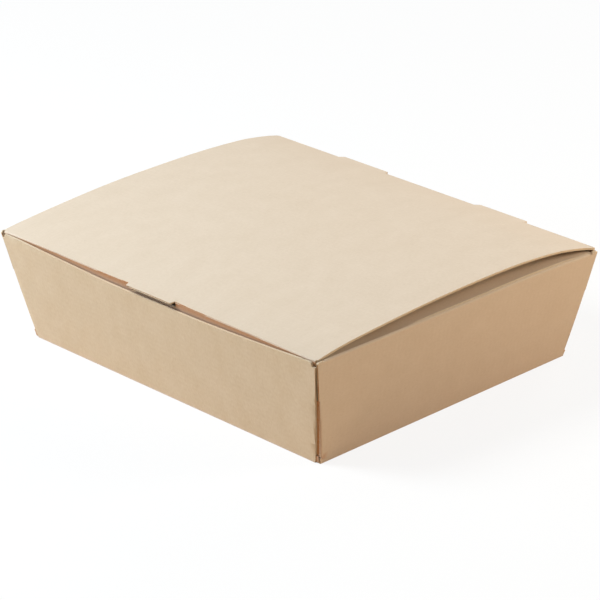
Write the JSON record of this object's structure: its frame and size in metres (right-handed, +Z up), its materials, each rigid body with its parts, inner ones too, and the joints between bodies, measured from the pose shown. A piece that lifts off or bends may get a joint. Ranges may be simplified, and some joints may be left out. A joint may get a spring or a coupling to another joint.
{
  "type": "paper snack box",
  "caption": "Hinged-lid snack box folded from kraft micro-flute board, with flared walls, a bowed tuck-in lid, dust flaps and a front finger tab.",
  "frame": {"origin": "middle of the base panel's underside, on the surface the box stands on", "axes": "+X along the hinge to the right, -Y towards the finger tab at the front, +Z up"},
  "size_m": [0.198, 0.1711, 0.0569],
  "materials": {
    "kraft_board": "matte uncoated kraft liner with fine fibre mottle"
  },
  "bodies": {
    "tray": {"tray": "kraft_board"},
    "lid": {"lid": "kraft_board"}
  },
  "joints": [
    {"name": "lid_hinge", "type": "hinge", "parent": "tray", "child": "lid", "pos_m": [0, 0.08308, 0.05], "axis": [-1, 0, 0], "range_deg": [0, 180]}
  ]
}
